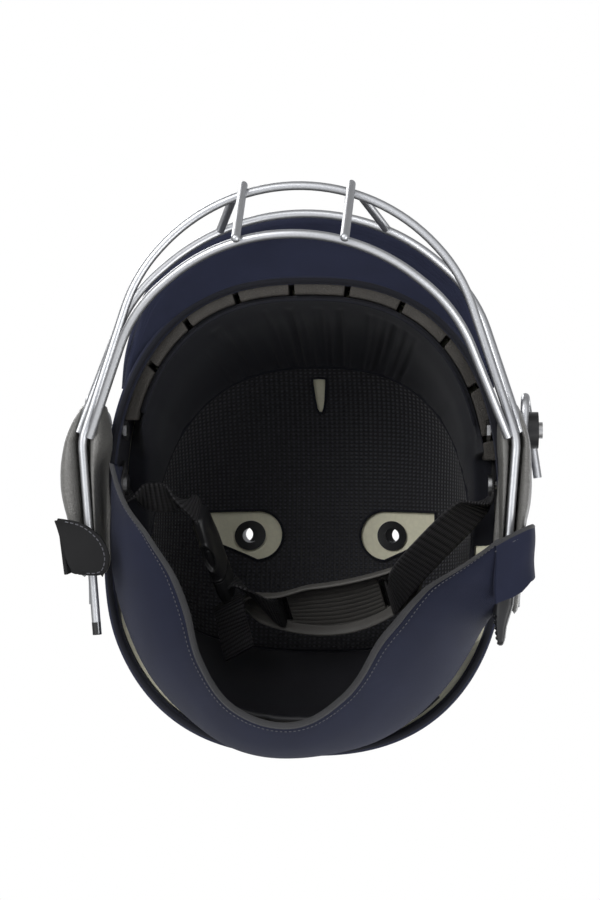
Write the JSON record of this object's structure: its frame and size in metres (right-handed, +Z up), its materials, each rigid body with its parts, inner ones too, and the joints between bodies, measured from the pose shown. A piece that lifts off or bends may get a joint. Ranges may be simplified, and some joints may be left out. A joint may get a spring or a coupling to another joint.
{
  "type": "cricket helmet",
  "caption": "Cloth-covered cricket helmet with a welded wire face guard, peak, ear pads, padded lining, cloth neck guard, and a swinging chin strap with a chin cup and side-release buckle.",
  "frame": {"origin": "middle of the helmet's footprint on the shelf, under the middle of its bounding box", "axes": "+Z up to the crown, -Y the way the face looks, +X the wearer's left"},
  "size_m": [0.2586, 0.301, 0.2591],
  "materials": {
    "cloth": "woven cloth",
    "shell": "moulded",
    "eps": "beaded foam",
    "brow_foam": "soft foam",
    "lining": "gathered knit",
    "mesh": "perforated mesh",
    "ear_leather": "grained",
    "wire": "satin",
    "guard_cloth": "woven cloth",
    "binding": "bound tape",
    "tape": "hook tape",
    "webbing": "ribbed webbing",
    "black_plastic": "satin",
    "cup_rubber": "ridged",
    "fixing_steel": "plated"
  },
  "bodies": {
    "helmet": {"brow_band": "brow_foam", "cloth_cover": "cloth", "comfort_ring": "lining", "crown_button": "cloth", "crown_mesh": "mesh", "ear_pad_left": "ear_leather", "ear_pad_right": "ear_leather", "foam_liner": "eps", "grille_front_rods": "wire", "grille_lower_bar": "wire", "grille_middle_bar": "wire", "grille_top_bar": "wire", "grille_upper_rods": "wire", "grip_tab_root": "tape", "guard_binding": "binding", "guard_fixing_strip": "tape", "nape_pad": "lining", "neck_guard": "guard_cloth", "outer_shell": "shell", "peak": "cloth", "strap_rivets": "fixing_steel", "temple_bolts": "fixing_steel", "temple_clamp_left": "black_plastic", "temple_clamp_right": "black_plastic", "temple_loop_left": "wire", "temple_loop_right": "wire", "temple_nuts": "fixing_steel", "vent_eyelet_left": "black_plastic", "vent_eyelet_right": "black_plastic"},
    "chin_strap": {"strap_long": "webbing", "strap_bridge": "webbing", "strap_link": "webbing", "strap_short": "webbing", "buckle_socket": "black_plastic"},
    "cup": {"chin_cup": "cup_rubber"},
    "clip": {"buckle_clip": "black_plastic", "strap_tail": "webbing"},
    "grip_tab": {"grip_tab_right": "tape"},
    "wrap_tab": {"wrap_tab_left": "guard_cloth"}
  },
  "joints": [
    {"name": "strap_swing", "type": "hinge", "parent": "helmet", "child": "chin_strap", "pos_m": [0, 0.00774, 0.11253], "axis": [-1, 0, 0], "range_deg": [0, 140]},
    {"name": "cup_slide", "type": "slide", "parent": "chin_strap", "child": "cup", "axis": [0.981, -0.1591, -0.1114], "range_m": [-0.003, 0.003]},
    {"name": "buckle_release", "type": "slide", "parent": "chin_strap", "child": "clip", "axis": [0.219, 0.7993, 0.5597], "range_m": [0, 0.01], "deforming": ["strap_link"]},
    {"name": "grip_tab_peel", "type": "hinge", "parent": "helmet", "child": "grip_tab", "pos_m": [-0.1215, 0.02204, 0.03363], "axis": [0, 1, 0], "range_deg": [0, 90]},
    {"name": "wrap_tab_peel", "type": "hinge", "parent": "helmet", "child": "wrap_tab", "pos_m": [0.101, 0.02204, 0.02903], "axis": [0, 1, 0], "range_deg": [0, 75]}
  ]
}
